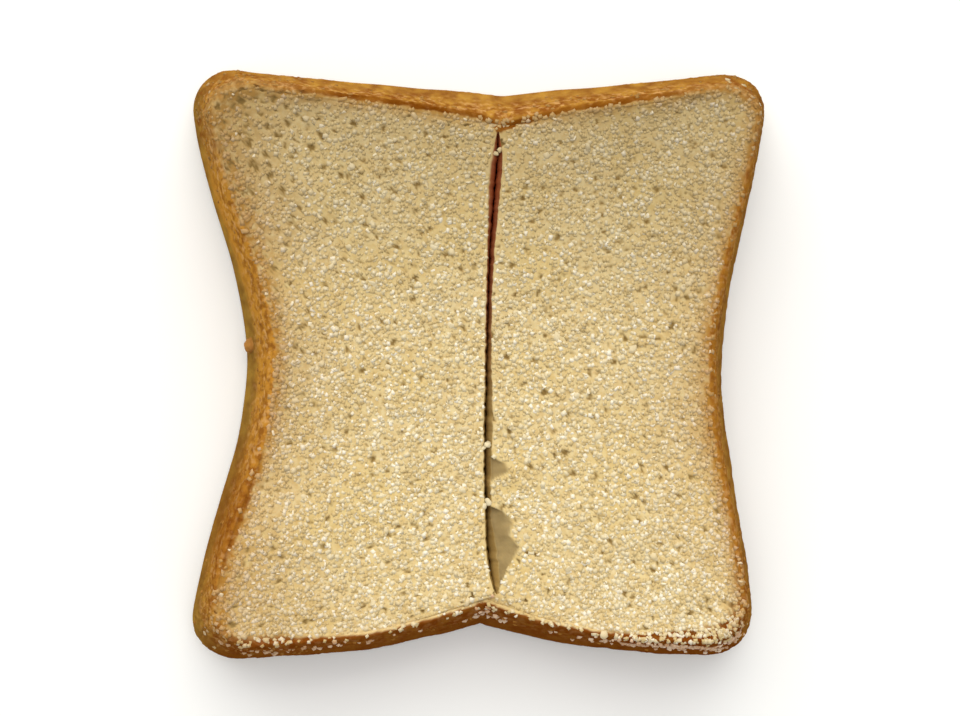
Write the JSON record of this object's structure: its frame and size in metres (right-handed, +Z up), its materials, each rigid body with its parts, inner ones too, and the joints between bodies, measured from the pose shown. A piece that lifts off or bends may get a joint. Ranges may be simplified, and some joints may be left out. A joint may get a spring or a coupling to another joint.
{
  "type": "sugar toast",
  "caption": "Thick square slice of buttered sugar toast with pinched sides, a golden crust and a slit down the middle of its sugared top.",
  "frame": {"origin": "under the middle of the slice's bounding box, on the surface it rests on", "axes": "+Z up through the sugared face, +Y along the slit to its far end, +X to the right half"},
  "size_m": [0.119, 0.1218, 0.0292],
  "materials": {
    "toasted_bread": "matt baked crust and crumb under coarse sugar"
  },
  "bodies": {
    "root": {"sugar_toast": "toasted_bread"}
  },
  "joints": []
}
